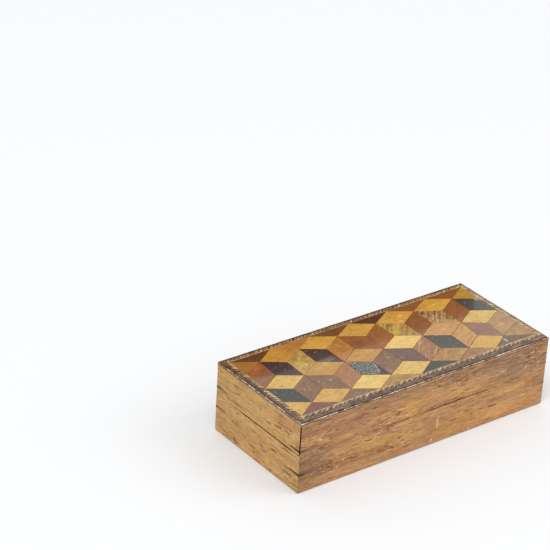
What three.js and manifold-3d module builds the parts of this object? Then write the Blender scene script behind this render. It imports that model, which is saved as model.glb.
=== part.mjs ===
// Small wooden trick box. A mitred hardwood carcass with slip-keyed corners holds a parquetry lid that
// slides out endwise on tongues. The upper half of the left end is glued to the lid and leaves with it, so
// the closed box looks like one solid block. Two loose pins in the lid drop into a ledge at the right end
// and lock it.
// Millimetres, +Z up, +X towards the right end, origin at the middle of the underside.

import * as THREE from 'three';
import { mergeVertices } from 'three/addons/utils/BufferGeometryUtils.js';
import loadManifold from 'manifold-3d';

const wasm = await loadManifold();
wasm.setup();

// Whole box
const length = 135;
const width = 58.6;
const height = 33.5;
const wall = 5;
const footRound = 1.1;
const glueLine = 0.1;

// Lid, from the top down: marquetry veneers, a ground board over the whole plan, a core with tongues
const veneer = 0.65;
const ground = 0.6;
const core = 3.65;
const overhangGap = 0.05;
const tongueReach = 2.2;
const tongueThick = 1.6;
const tongueSlack = 0.2;
const coreSideGap = 0.1;
const coreEndGap = 0.2;

// Widths of the lid's border on each edge, from the outside in
const borders = {
  left: { stringing: 0.7, strip: 1.6, rope: 1.9 },
  right: { stringing: 0.3, strip: 0.4, rope: 2.0 },
  front: { stringing: 1.0, strip: 2.5, rope: 2.0 },
  back: { stringing: 0.35, strip: 0.65, rope: 1.9 },
};
const borderJoint = 0.06;

// Facets of a full turn, for pins and holes
const roundSides = 24;

// The left end is split: the lower half stays, the upper half leaves with the lid
const splitAtFront = 18.0;
const splitAtBack = 18.3;
const splitTight = 16;
const endBlockBase = 18.4;
const openMitre = 0.7;
const closeMitre = 0.25;

// Base board let into a rebate, and the cloth lining
const baseThick = 3;
const rebate = 2.4;
const liningThick = 0.4;
const liningTop = 28;
const lowLiningTop = 17.7;

// Slip keys across the corners: their thickness, the length that shows, and the height of each
const keyThick = 1;
const keyLeg = 6.5;
const keyHeights = {
  front_left: { upper: 20.1, lower: 9.1 },
  back_left: { upper: 21.8, lower: 12.1 },
  front_right: { upper: 21.3, lower: 11.2 },
  back_right: { upper: 21.6, lower: 11.6 },
};

// Pin lock near the right end
const cleatBase = 23;
const cleatFrom = 50;
const cleatTo = 58;
const cleatHalf = 20;
const pinAt = { x: 54, y: 14 };
const pinRadius = 1.2;
const pinLength = 7.5;
const pinTravel = 3;
const pinLow = 23.3;
const boreSlack = 0.08;
const boreTop = 31.2;
const socketSlack = 0.3;
const ledgeFrom = 48.5;
const ledgeBase = 15.5;
const ledgeTop = 22.7;

const outer = rectangle(0, 0, 0, 0);
const inner = rectangle(wall, wall, wall, wall);
const groundTop = height - veneer;
const groundBase = groundTop - ground;
const sideTop = groundBase - overhangGap;
const coreBase = groundBase - core;
const tongueTop = coreBase + tongueThick;
const beyond = 5;

// A rectangle in plan, set in from the box's outline by a width on each edge
function rectangle(left, right, front, back) {
  return {
    left: -length / 2 + left,
    right: length / 2 - right,
    front: -width / 2 + front,
    back: width / 2 - back,
  };
}

// Closed solids

function slab(outline, low, high) {
  const shape = new THREE.Shape(outline.map(([x, y]) => new THREE.Vector2(x, y)));
  const geometry = new THREE.ExtrudeGeometry(shape, { depth: high - low, bevelEnabled: false });
  return geometry.translate(0, 0, low);
}

function block(plan, low, high) {
  const outline = [
    [plan.left, plan.front],
    [plan.right, plan.front],
    [plan.right, plan.back],
    [plan.left, plan.back],
  ];
  return slab(outline, low, high);
}

// A profile of [across, up] points extruded lengthwise: along X, or along Y
function beamAlongX(profile, from, to) {
  const turn = new THREE.Matrix4().set(0, 0, 1, 0, 1, 0, 0, 0, 0, 1, 0, 0, 0, 0, 0, 1);
  return slab(profile, from, to).applyMatrix4(turn);
}

function beamAlongY(profile, from, to) {
  return slab(profile, from, to).rotateX(Math.PI / 2).translate(0, from + to, 0);
}

function cylinder(x, y, low, high, radius) {
  const geometry = new THREE.CylinderGeometry(radius, radius, high - low, roundSides);
  return geometry.rotateX(Math.PI / 2).translate(x, y, (low + high) / 2);
}

function toSolid(geometry) {
  const bare = geometry.clone();
  bare.deleteAttribute('normal');
  bare.deleteAttribute('uv');
  const merged = mergeVertices(bare, 1e-5);
  const vertProperties = new Float32Array(merged.attributes.position.array);
  const triVerts = new Uint32Array(merged.index.array);
  return new wasm.Manifold(new wasm.Mesh({ numProp: 3, vertProperties, triVerts }));
}

function toGeometry(solid) {
  const mesh = solid.getMesh();
  const geometry = new THREE.BufferGeometry();
  geometry.setAttribute('position', new THREE.BufferAttribute(mesh.vertProperties, 3));
  geometry.setIndex(new THREE.BufferAttribute(mesh.triVerts, 1));
  geometry.computeVertexNormals();
  return geometry;
}

function cut(geometry, tools) {
  const solid = tools.reduce((left, tool) => left.subtract(toSolid(tool)), toSolid(geometry));
  return toGeometry(solid);
}

function meet(first, second) {
  return toGeometry(toSolid(first).intersect(toSolid(second)));
}

function join(first, second) {
  return toGeometry(toSolid(first).add(toSolid(second)));
}

// The model is a group of named meshes

const group = new THREE.Group();
group.name = 'trick_box';

const finishes = {
  sideWood: { color: 0xa9784a, roughness: 0.5 },
  endWood: { color: 0xc19a5e, roughness: 0.5 },
  keyWood: { color: 0x4b3a3c, roughness: 0.6 },
  baseWood: { color: 0x9c7148, roughness: 0.7 },
  lining: { color: 0x6d2a2c, roughness: 0.95 },
  groundWood: { color: 0xb08454, roughness: 0.6 },
  parquetWood: { color: 0xcc9f58, roughness: 0.35 },
  ropeWood: { color: 0xb9a173, roughness: 0.4 },
  stripWood: { color: 0x5e4232, roughness: 0.4 },
  stringingWood: { color: 0xd8cbb4, roughness: 0.5 },
  pinBrass: { color: 0xb08d4a, roughness: 0.35, metalness: 1 },
};

function add(name, geometry, finish) {
  const material = new THREE.MeshStandardMaterial({ metalness: 0, ...finishes[finish] });
  const mesh = new THREE.Mesh(geometry, material);
  mesh.name = name;
  group.add(mesh);
}

// Corners in plan: where each is, and which way the box lies from it

const corners = {
  front_left: { x: outer.left, y: outer.front, inX: 1, inY: 1 },
  front_right: { x: outer.right, y: outer.front, inX: -1, inY: 1 },
  back_left: { x: outer.left, y: outer.back, inX: 1, inY: -1 },
  back_right: { x: outer.right, y: outer.back, inX: -1, inY: -1 },
};

// A whole slip key: a triangle that shows the same length on both faces of a corner
function keyOutline(corner, leg) {
  const { x, y, inX, inY } = corners[corner];
  return [
    [x, y],
    [x + inX * leg, y],
    [x, y + inY * leg],
  ];
}

// Half of a slip key, sawn along the mitre: the half in the long side, or the half in the end
function halfKeyOutline(corner, leg, inLongSide, setBack) {
  const { x, y, inX, inY } = corners[corner];
  const deep = leg / 2;
  const alongX = inLongSide ? setBack : 0;
  const alongY = inLongSide ? 0 : setBack;
  const tip = inLongSide ? [x + inX * leg, y] : [x, y + inY * leg];
  const outerPoint = [x + inX * alongX, y + inY * alongY];
  const back = setBack / 2;
  const innerPoint = inLongSide
    ? [x + inX * (deep + back), y + inY * (deep - back)]
    : [x + inX * (deep - back), y + inY * (deep + back)];
  return [outerPoint, tip, innerPoint];
}

function keySlab(outline, middle) {
  return slab(outline, middle - keyThick / 2, middle + keyThick / 2);
}

// The saw kerf that a key lies in is a little deeper than the key
function kerf(corner, level) {
  return keySlab(keyOutline(corner, keyLeg + glueLine * 2), keyHeights[corner][level]);
}

// Carcass

// The carcass as one worn block: its outline with the bottom edges rounded over
function wornBlock() {
  const rounded = (half) => {
    const steps = 6;
    const points = [[half, sideTop], [-half, sideTop]];
    for (const side of [-1, 1]) {
      for (let step = 0; step <= steps; step++) {
        const turn = (step / steps) * (Math.PI / 2);
        const angle = side < 0 ? turn : Math.PI / 2 - turn;
        const across = half - footRound + footRound * Math.cos(angle);
        points.push([side * across, footRound - footRound * Math.sin(angle)]);
      }
    }
    return points;
  };
  const lengthwise = beamAlongX(rounded(width / 2), outer.left - beyond, outer.right + beyond);
  const crosswise = beamAlongY(rounded(length / 2), outer.front - beyond, outer.back + beyond);
  return meet(lengthwise, crosswise);
}

// The plan of a board mitred at both ends, between two nested rectangles
function mitredOutline(edge, outside, inside, setBacks) {
  const [first, second] = setBacks;
  if (edge === 'front' || edge === 'back') {
    return [
      [outside.left + first, outside[edge]],
      [outside.right - second, outside[edge]],
      [inside.right - second, inside[edge]],
      [inside.left + first, inside[edge]],
    ];
  }
  return [
    [outside[edge], outside.front + first],
    [outside[edge], outside.back - second],
    [inside[edge], inside.back - second],
    [inside[edge], inside.front + first],
  ];
}

const worn = wornBlock();
const tongueRoom = {
  left: outer.left - beyond,
  right: inner.right + tongueReach + tongueSlack,
  front: inner.front - tongueReach - tongueSlack,
  back: inner.back + tongueReach + tongueSlack,
};
const lidGroove = block(tongueRoom, coreBase - tongueSlack, tongueTop + tongueSlack);
const baseRoom = rectangle(wall - rebate, wall - rebate, wall - rebate, wall - rebate);
const baseRebate = block(baseRoom, -beyond, baseThick);

function carcassBoard(edge, cornersHere, levels, high) {
  const outline = mitredOutline(edge, outer, inner, [glueLine / 2, glueLine / 2]);
  const board = meet(slab(outline, 0, high), worn);
  const kerfs = cornersHere.flatMap((corner) => levels.map((level) => kerf(corner, level)));
  return cut(board, [lidGroove, baseRebate, ...kerfs]);
}

function addCarcass() {
  const both = ['upper', 'lower'];
  add('front_side', carcassBoard('front', ['front_left', 'front_right'], both, sideTop), 'sideWood');
  add('back_side', carcassBoard('back', ['back_left', 'back_right'], both, sideTop), 'sideWood');
  add('right_end', carcassBoard('right', ['front_right', 'back_right'], both, sideTop), 'endWood');

  const lowEnd = carcassBoard('left', ['front_left', 'back_left'], ['lower'], splitAtBack);
  const sawn = [
    [outer.front - beyond, splitAtFront],
    [outer.back - splitTight, splitAtBack],
    [outer.back + beyond, splitAtBack],
    [outer.back + beyond, height],
    [outer.front - beyond, height],
  ];
  const sawCut = beamAlongX(sawn, outer.left - beyond, inner.left + beyond);
  add('left_end_lower', cut(lowEnd, [sawCut]), 'endWood');

  const inset = wall - rebate + glueLine;
  add('base_board', block(rectangle(inset, inset, inset, inset), 0, baseThick), 'baseWood');
}

function addKeys() {
  for (const corner of ['front_left', 'back_left', 'front_right', 'back_right']) {
    add(`key_${corner}_lower`, keySlab(keyOutline(corner, keyLeg), keyHeights[corner].lower), 'keyWood');
  }
  for (const corner of ['front_right', 'back_right']) {
    add(`key_${corner}_upper`, keySlab(keyOutline(corner, keyLeg), keyHeights[corner].upper), 'keyWood');
  }
  for (const corner of ['front_left', 'back_left']) {
    const outline = halfKeyOutline(corner, keyLeg, true, glueLine / 2);
    add(`key_stub_${corner}_side`, keySlab(outline, keyHeights[corner].upper), 'keyWood');
  }
}

function addLining() {
  add('lining_floor', block(inner, baseThick, baseThick + liningThick), 'lining');
  const low = baseThick + liningThick;
  const clothFront = { ...inner, back: inner.front + liningThick };
  const clothBack = { ...inner, front: inner.back - liningThick };
  const between = { front: clothFront.back, back: clothBack.front };
  const clothRight = { ...between, left: inner.right - liningThick, right: inner.right };
  const clothLeft = { ...between, left: inner.left, right: inner.left + liningThick };
  add('lining_front', block(clothFront, low, liningTop), 'lining');
  add('lining_back', block(clothBack, low, liningTop), 'lining');
  add('lining_right', block(clothRight, low, liningTop), 'lining');
  add('lining_left', block(clothLeft, low, lowLiningTop), 'lining');
}

// Pin lock

function pinHoles(low, high, radius) {
  return [-pinAt.y, pinAt.y].map((y) => cylinder(pinAt.x, y, low, high, radius));
}

function addLockLedge() {
  const plan = { left: ledgeFrom, right: inner.right - liningThick, front: -cleatHalf, back: cleatHalf };
  const floor = pinLow - pinTravel - glueLine;
  const sockets = pinHoles(floor, ledgeTop + beyond, pinRadius + socketSlack);
  add('lock_ledge', cut(block(plan, ledgeBase, ledgeTop), sockets), 'baseWood');
}

// A turned pin with a rounded nose
function dropPin(y) {
  const nose = 0.5;
  const steps = 4;
  const profile = [new THREE.Vector2(0, 0)];
  for (let step = 0; step <= steps; step++) {
    const angle = (step / steps) * (Math.PI / 2);
    const across = pinRadius - nose + nose * Math.sin(angle);
    profile.push(new THREE.Vector2(across, nose - nose * Math.cos(angle)));
  }
  profile.push(new THREE.Vector2(pinRadius, pinLength), new THREE.Vector2(0, pinLength));
  const geometry = new THREE.LatheGeometry(profile, roundSides);
  return geometry.rotateX(Math.PI / 2).translate(pinAt.x, y, pinLow);
}

// Lid

function addLidBoards() {
  const bores = pinHoles(cleatBase - beyond, boreTop, pinRadius + boreSlack);
  const body = {
    left: inner.left,
    right: inner.right - coreEndGap,
    front: inner.front + coreSideGap,
    back: inner.back - coreSideGap,
  };
  const tongues = {
    left: inner.left + coreEndGap,
    right: inner.right + tongueReach - coreSideGap,
    front: inner.front - tongueReach + coreSideGap,
    back: inner.back + tongueReach - coreSideGap,
  };
  const board = join(block(body, coreBase, groundBase), block(tongues, coreBase, tongueTop));
  add('lid_core', cut(board, bores), 'baseWood');
  add('lid_ground', block(outer, groundBase, groundTop), 'groundWood');

  const cleat = { left: cleatFrom, right: cleatTo, front: -cleatHalf, back: cleatHalf };
  add('lid_cleat', cut(block(cleat, cleatBase, coreBase), bores), 'baseWood');
}

function addLidEndBlock() {
  const outline = mitredOutline('left', outer, inner, [openMitre, closeMitre]);
  const kerfs = ['front_left', 'back_left'].map((corner) => kerf(corner, 'upper'));
  add('lid_end_block', cut(slab(outline, endBlockBase, groundBase), kerfs), 'endWood');
  const setBacks = { front_left: openMitre, back_left: closeMitre };
  for (const corner of ['front_left', 'back_left']) {
    const stub = halfKeyOutline(corner, keyLeg, false, setBacks[corner]);
    add(`key_stub_${corner}_lid`, keySlab(stub, keyHeights[corner].upper), 'keyWood');
  }
}

// The marquetry lies in nested frames round the field of lozenges
function addMarquetry() {
  const edges = ['front', 'back', 'left', 'right'];
  const { left, right, front, back } = borders;
  const inside = (depth) => rectangle(depth(left), depth(right), depth(front), depth(back));
  const rings = [
    outer,
    inside((border) => border.stringing),
    inside((border) => border.stringing + border.strip),
    inside((border) => border.stringing + border.strip + border.rope),
  ];
  const kinds = [
    ['edge_stringing', 'stringingWood'],
    ['border_strip', 'stripWood'],
    ['rope_banding', 'ropeWood'],
  ];
  kinds.forEach(([kind, finish], ring) => {
    for (const edge of edges) {
      const outline = mitredOutline(edge, rings[ring], rings[ring + 1], [borderJoint / 2, borderJoint / 2]);
      add(`${kind}_${edge}`, slab(outline, groundTop, height), finish);
    }
  });
  add('parquetry_field', block(rings[3], groundTop, height), 'parquetWood');
}

addCarcass();
addKeys();
addLining();
addLockLedge();
addLidBoards();
addLidEndBlock();
addMarquetry();
add('drop_pin_front', dropPin(-pinAt.y), 'pinBrass');
add('drop_pin_back', dropPin(pinAt.y), 'pinBrass');

export default group;
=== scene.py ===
"""Looks for the small parquetry trick box: veneers, banding, worn boards, studio and camera."""

import math
import random

import bmesh
import bpy
from mathutils import Matrix, Vector


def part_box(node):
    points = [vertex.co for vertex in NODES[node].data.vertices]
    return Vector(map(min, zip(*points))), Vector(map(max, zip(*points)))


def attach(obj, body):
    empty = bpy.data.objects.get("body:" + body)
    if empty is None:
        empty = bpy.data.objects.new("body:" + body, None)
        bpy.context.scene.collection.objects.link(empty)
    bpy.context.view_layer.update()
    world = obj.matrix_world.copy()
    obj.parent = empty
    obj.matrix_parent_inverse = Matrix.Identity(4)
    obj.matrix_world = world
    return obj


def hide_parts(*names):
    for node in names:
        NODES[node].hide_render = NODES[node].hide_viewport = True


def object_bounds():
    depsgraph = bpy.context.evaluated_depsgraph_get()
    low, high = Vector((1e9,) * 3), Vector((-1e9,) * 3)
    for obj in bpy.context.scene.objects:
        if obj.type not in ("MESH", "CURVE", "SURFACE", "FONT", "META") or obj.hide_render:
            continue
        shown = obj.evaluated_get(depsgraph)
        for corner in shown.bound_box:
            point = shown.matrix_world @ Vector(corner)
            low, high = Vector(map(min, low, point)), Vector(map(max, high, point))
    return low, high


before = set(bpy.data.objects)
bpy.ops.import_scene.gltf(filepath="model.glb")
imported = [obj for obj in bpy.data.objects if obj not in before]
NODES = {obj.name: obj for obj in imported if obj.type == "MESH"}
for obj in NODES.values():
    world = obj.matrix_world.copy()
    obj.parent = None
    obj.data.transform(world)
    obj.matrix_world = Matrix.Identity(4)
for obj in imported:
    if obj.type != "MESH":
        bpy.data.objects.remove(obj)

cad_low, cad_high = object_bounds()
MM = 0.001
# The lid's top in metres, and half of the box's length and width in millimetres
TOP = cad_high.z
HALF_LENGTH = cad_high.x / MM
HALF_WIDTH = cad_high.y / MM


# Camera: a long lens from the left and above, aimed past the box's front-left corner

def place_camera():
    box_length = cad_high.x - cad_low.x
    azimuth = math.radians(-38.02)
    elevation = math.radians(27.86)
    roll = math.radians(3.22)
    distance = 6.936 * box_length
    across = -0.365 * box_length
    up_by = 0.435 * box_length
    level = math.cos(elevation)
    back = Vector((math.sin(azimuth) * level, -math.cos(azimuth) * level, math.sin(elevation)))
    right = Vector((math.cos(azimuth), math.sin(azimuth), 0))
    up = back.cross(right)
    rolled_right = math.cos(roll) * right + math.sin(roll) * up
    rolled_up = math.cos(roll) * up - math.sin(roll) * right
    place = back * distance + right * across + up * up_by
    camera = bpy.data.objects.new("camera", bpy.data.cameras.new("camera"))
    turn = Matrix((rolled_right, rolled_up, back)).transposed()
    camera.matrix_world = Matrix.Translation(place) @ turn.to_4x4()
    camera.data.lens = 141.05
    camera.data.sensor_width = 36
    camera.data.clip_start = 0.01
    bpy.context.scene.collection.objects.link(camera)
    bpy.context.scene.camera = camera


# Colour helpers: tones are written as they look on a screen, from 0 to 255

def linear(value):
    """The light that a screen value stands for, from 0 to 1."""
    share = value / 255
    return ((share + 0.055) / 1.055) ** 2.4 if share > 0.04045 else share / 12.92


def rgb(red, green, blue):
    return linear(red), linear(green), linear(blue)


def tint(colour, by):
    return tuple(min(channel * by, 1.0) for channel in colour)


def shades(colour, spread=0.25):
    """Dark, middle and pale tones of one wood."""
    return tint(colour, 1 - spread), colour, tint(colour, 1 + spread)


# Node helpers. Every pattern is in object space, and a pattern's scale counts repeats to the millimetre

# Places of the colour sockets on a Mix node
MIX_FIRST = 6
MIX_SECOND = 7
MIX_RESULT = 2
# How far apart two seeds that differ by 1 set their patterns, in metres
SEED_STEP = (0.0371, 0.0593, 0.0817)


class Shader:
    """One material under construction."""

    def __init__(self, name, roughness=0.4, coat=0.0, coat_roughness=0.15, sheen=0.0, metallic=0.0,
                 gleam=0.5):
        self.material = bpy.data.materials.new(name)
        self.material.use_nodes = True
        self.tree = self.material.node_tree
        self.shader = self.tree.nodes["Principled BSDF"]
        self.feed_all(self.shader, {
            "Roughness": roughness, "Metallic": metallic, "Coat Weight": coat,
            "Coat Roughness": coat_roughness, "Sheen Weight": sheen, "Specular IOR Level": gleam,
        })

    def node(self, kind, inputs=None, **settings):
        made = self.tree.nodes.new(kind)
        for key, value in settings.items():
            setattr(made, key, value)
        self.feed_all(made, inputs or {})
        return made

    def feed(self, socket, value):
        if isinstance(value, bpy.types.NodeSocket):
            self.tree.links.new(value, socket)
        else:
            socket.default_value = value

    def feed_all(self, node, inputs):
        for key, value in inputs.items():
            self.feed(node.inputs[key], value)

    def coordinates(self, seed=0.0, turn=(0, 0, 0), stretch=(1, 1, 1), centre=(0, 0, 0)):
        """Object space in millimetres, turned, and squeezed along each axis by stretch."""
        inputs = {
            "Vector": self.node("ShaderNodeTexCoord").outputs["Object"],
            "Location": [place * MM + seed * step for place, step in zip(centre, SEED_STEP)],
            "Rotation": turn,
            "Scale": [length * MM for length in stretch],
        }
        return self.node("ShaderNodeMapping", inputs, vector_type="TEXTURE").outputs["Vector"]

    def axes(self):
        """The point's x, y and z in millimetres."""
        return self.node("ShaderNodeSeparateXYZ", {0: self.coordinates()}).outputs

    def noise(self, vector, scale, detail=3.0, roughness=0.5, distortion=0.0):
        inputs = {"Vector": vector, "Scale": scale, "Detail": detail, "Roughness": roughness,
                  "Distortion": distortion}
        return self.node("ShaderNodeTexNoise", inputs).outputs["Fac"]

    def pattern(self, seed, *settings, turn=(0, 0, 0), stretch=(1, 1, 1)):
        """Noise over the whole object. The settings are noise()'s, from scale on."""
        return self.noise(self.coordinates(seed, turn, stretch), *settings)

    def fade(self, value, low, high, to_low=0.0, to_high=1.0):
        """value between low and high becomes to_low to to_high, smoothly."""
        inputs = {"Value": value, "From Min": low, "From Max": high, "To Min": to_low, "To Max": to_high}
        return self.node("ShaderNodeMapRange", inputs, interpolation_type="SMOOTHSTEP").outputs["Result"]

    def ramp(self, value, stops):
        """Colours between stops, each a value and its colour."""
        made = self.node("ShaderNodeValToRGB", {"Fac": value})
        elements = made.color_ramp.elements
        while len(elements) < len(stops):
            elements.new(0.5)
        for element, (place, colour) in zip(elements, stops):
            element.position = place
            element.color = (*colour, 1)
        return made.outputs["Color"]

    def mix(self, amount, first, second, blend="MIX"):
        inputs = {"Factor": amount}
        for place, value in ((MIX_FIRST, first), (MIX_SECOND, second)):
            inputs[place] = (*value, 1) if isinstance(value, tuple) else value
        made = self.node("ShaderNodeMix", inputs, data_type="RGBA", blend_type=blend)
        return made.outputs[MIX_RESULT]

    def sums(self, operation, first, second):
        """One step of arithmetic."""
        return self.node("ShaderNodeMath", {0: first, 1: second}, operation=operation).outputs[0]

    def times(self, first, second):
        return self.sums("MULTIPLY", first, second)

    def stirred(self, value, stir, wobble):
        """The value, moved to and fro by a noise."""
        return self.sums("ADD", value, self.times(self.sums("SUBTRACT", stir, 0.5), wobble))

    def spot(self, centre, radii, stir=None, wobble=0.0, edge=0.5):
        """1 inside an ellipsoid, in millimetres, falling to 0 at its surface, which stir moves by wobble."""
        from_centre = {0: self.coordinates(centre=centre, stretch=radii)}
        reach = self.node("ShaderNodeVectorMath", from_centre, operation="LENGTH").outputs["Value"]
        if stir is not None:
            reach = self.stirred(reach, stir, wobble)
        return self.fade(reach, edge, 1.0, 1.0, 0.0)

    def finish(self, colour, roughness=None, height=None, depth=0.02):
        """The finished material. height is a pattern of bumps, depth millimetres high."""
        self.feed(self.shader.inputs["Base Color"], colour)
        if roughness is not None:
            self.feed(self.shader.inputs["Roughness"], roughness)
        if height is not None:
            bump = self.node("ShaderNodeBump", {"Strength": 1.0, "Distance": depth * MM, "Height": height})
            self.feed(self.shader.inputs["Normal"], bump.outputs["Normal"])
        return self.material


# Wood. The grain runs along the first axis of the turned space

ALONG_X = (0, 0, 0)
ALONG_Y = (0, 0, math.pi / 2)
PORE = rgb(98, 48, 10)
GRIME = rgb(70, 52, 40)
WHITE = (1, 1, 1)
# What dark fibres and stains multiply the colour by
FIBRE_SHADE = (0.44, 0.3, 0.2)
STAIN_SHADE = (0.72, 0.52, 0.42)
# The share of a board's flecks that its quiet parts keep
QUIET = 0.35


def darkened(look, colour, amount, fine, shade, clear=0.7):
    """The colour, multiplied by shade where the fine noise is low, and left alone from clear up."""
    return look.mix(amount, colour, look.ramp(fine, [(0.3, shade), (clear, WHITE)]), "MULTIPLY")


def pore_dashes(look, size, seed, turn):
    """Short dashes along the grain, crowded in some bands and thin in others."""
    dashes = look.pattern(seed + 7, 2.0 / size, 1.5, 0.5, turn=turn, stretch=(12, 1, 1))
    bands = look.pattern(seed + 9, 0.09, 2, turn=turn, stretch=(2.5, 1, 1))
    return look.times(look.fade(dashes, 0.6, 0.68), look.fade(bands, 0.38, 0.6, 0.3, 1.0))


def add_stains(look, colour, pale, amount, seed, turn):
    """Reddish clouds, and paler wood between them."""
    cloud = look.pattern(seed + 17, 0.45, 4, 0.65, 0.5, turn=turn, stretch=(1.6, 1, 1))
    colour = look.mix(look.fade(cloud, 0.52, 0.68, 0.0, amount), colour, STAIN_SHADE, "MULTIPLY")
    return look.mix(look.fade(cloud, 0.46, 0.32, 0.0, amount * 0.7), colour, tint(pale, 1.3))


def add_flecks(look, colour, pale, amount, busy, seed, turn):
    """Pale and dark flecks along the grain, fewer outside the busy places if there are any."""
    short = look.pattern(seed + 13, 1.8, 3, 0.7, turn=turn, stretch=(6, 1, 1))
    inside = 1.0
    if busy:
        inside = 0.0
        for centre, radii in busy:
            inside = look.sums("MAXIMUM", inside, look.spot(centre, radii, edge=0.3))
        inside = look.fade(inside, 0.0, 1.0, QUIET, 1.0)
    pale_fleck = look.times(look.fade(short, 0.43, 0.35, 0.0, amount * 0.75), inside)
    dark_fleck = look.times(look.fade(short, 0.56, 0.64, 0.0, amount), inside)
    colour = look.mix(pale_fleck, colour, tint(pale, 1.35))
    return look.mix(dark_fleck, colour, PORE)


def wood(name, tones, seed, turn=ALONG_X, figure=0.14, stretch=9.0, fibre=0.25, pores=0.5, pore_size=1.0,
         flecks=0.0, busy=(), roughness=0.42, coat=0.0, coat_roughness=0.15, gleam=0.5, bump=0.03,
         specks=0.0, speck_tone=None, dirt=0.0, stains=0.0, streak=0.5, extras=None):
    """A board or veneer: broad figure, fine fibre, dark pore dashes, stains, flecks, dirt and pale specks.

    busy lists places, as centre and radii, that hold most of the flecks. extras, if given, is called with
    the shader, the colour and the streaks, and returns a new colour.
    """
    dark, mid, pale = tones
    look = Shader(name, roughness=roughness, coat=coat, coat_roughness=coat_roughness, gleam=gleam)
    grain = look.coordinates(seed=seed, turn=turn, stretch=(stretch, 1, 1))
    broad = look.noise(grain, figure, 3, 0.55, 0.7)
    colour = look.ramp(broad, [(0.3, dark), (0.5, mid), (0.7, pale)])
    streaks = look.noise(grain, figure * 5, 4, 0.6, 0.3)
    colour = look.mix(look.fade(streaks, 0.38, 0.7, 0.0, streak), colour, tint(dark, 0.85))
    if extras:
        colour = extras(look, colour, streaks)
    fine = look.pattern(seed + 3, 4.0, 3, 0.65, turn=turn, stretch=(stretch * 2, 1, 1))
    colour = darkened(look, colour, fibre, fine, FIBRE_SHADE, 0.65)
    pore = pore_dashes(look, pore_size, seed, turn)
    colour = look.mix(look.times(pore, pores), colour, PORE)
    if stains:
        colour = add_stains(look, colour, pale, stains, seed, turn)
    if flecks:
        colour = add_flecks(look, colour, pale, flecks, busy, seed, turn)
    if dirt:
        grime = look.pattern(seed + 15, 0.35, 4, 0.7, stretch=(1.5, 1.5, 1))
        colour = look.mix(look.fade(grime, 0.45, 0.62, 0.0, dirt), colour, GRIME)
    if specks:
        rubbed = look.pattern(seed + 11, 1.1, 3, 0.65, stretch=(1.4, 1, 1))
        colour = look.mix(look.fade(rubbed, 0.62, 0.68, 0.0, specks), colour, speck_tone or tint(pale, 1.6))
    height = look.sums("SUBTRACT", look.times(fine, 0.35), pore)
    rough = look.fade(streaks, 0.3, 0.7, roughness - 0.06, roughness + 0.08)
    return look.finish(colour, rough, height, bump)


# Places for spots: each function takes a middle and half lengths, all in millimetres, and returns a centre
# and radii. A spot also reaches a little way into the wood
LID_REACH = 3
SIDE_REACH = 4


def on_lid(x, y, half_length, half_width):
    return (x, y, TOP / MM), (half_length, half_width, LID_REACH)


def along_front(x_from_left, z, half_length, half_height):
    return (x_from_left - HALF_LENGTH, -HALF_WIDTH, z), (half_length, SIDE_REACH, half_height)


def along_left(y_from_back, z, half_length, half_height):
    return (-HALF_LENGTH, HALF_WIDTH - y_from_back, z), (SIDE_REACH, half_length, half_height)


def with_patches(patches, marks=(), locate=on_lid, turn=ALONG_X):
    """Extras for wood(): soft coloured patches, then thin hard marks.

    Each is a tone, its strength, and then the four numbers that locate takes.
    """
    def add(look, colour, streaks):
        stir = look.pattern(5.5, 0.5, 3, 0.6, turn=turn, stretch=(3, 1, 1))
        for tone, amount, *place in patches:
            middle = rgb(*tone)
            inside = look.mix(look.fade(streaks, 0.35, 0.65), tint(middle, 1.08), tint(middle, 0.84))
            mask = look.spot(*locate(*place), stir, 1.4, edge=0.2)
            colour = look.mix(look.times(mask, amount), colour, inside)
        for tone, amount, *place in marks:
            mask = look.spot(*locate(*place), stir, 1.2, edge=0.45)
            colour = look.mix(look.times(mask, amount), colour, rgb(*tone))
        return colour
    return add


# Veneers of the lid

SPECIES = {
    "box": (208, 171, 88),
    "pale box": (226, 189, 102),
    "dull box": (199, 156, 72),
    "satin": (204, 152, 62),
    "gold satin": (190, 138, 50),
    "deep gold": (180, 131, 42),
    "amber": (176, 116, 46),
    "dark amber": (153, 99, 33),
    "maple": (181, 135, 59),
    "tan": (170, 124, 58),
    "dull tan": (150, 112, 62),
    "peach": (156, 106, 62),
    "pale peach": (188, 140, 76),
    "fawn": (166, 127, 76),
    "padauk": (151, 91, 38),
    "yew": (138, 82, 35),
    "walnut": (112, 70, 32),
    "dark walnut": (84, 52, 38),
    "bog oak": (96, 58, 28),
    "mauve": (124, 88, 60),
    "grey mauve": (104, 75, 60),
    "pink mauve": (139, 98, 70),
    "rosewood": (117, 65, 50),
    "plum": (58, 38, 38),
    "brown plum": (66, 46, 38),
    "slate": (62, 62, 53),
    "deep slate": (48, 52, 42),
    "olive": (182, 146, 68),
    "dull olive": (166, 130, 64),
}

# One wood for each lozenge, from left to right, in rows from the back edge to the front edge
ROWS = {
    "back_edge": ["bog oak", "amber", "walnut", "dark walnut", "yew", "yew"],
    "row_1": ["dark amber", "gold satin", "satin", "satin", "satin", "satin", "deep gold"],
    "band_1": ["yew", "plum", "olive", "brown plum", "amber", "yew",
               "padauk", "dull olive", "yew", "dull tan", "yew", "slate"],
    "row_2": ["box", "maple", "maple", "pale box", "pale peach", "box"],
    "band_2": ["deep slate", "mauve", "mauve", "peach", "slate", "mauve",
               "grey mauve", "peach", "slate", "pale peach", "pink mauve", "fawn"],
    "row_3": ["dull box", "dull box", "pale box", "box", "tan", "dull box", "fawn"],
    "front_edge": ["rosewood", "mauve", "tan", "deep slate", "peach", "grey mauve"],
}


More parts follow.
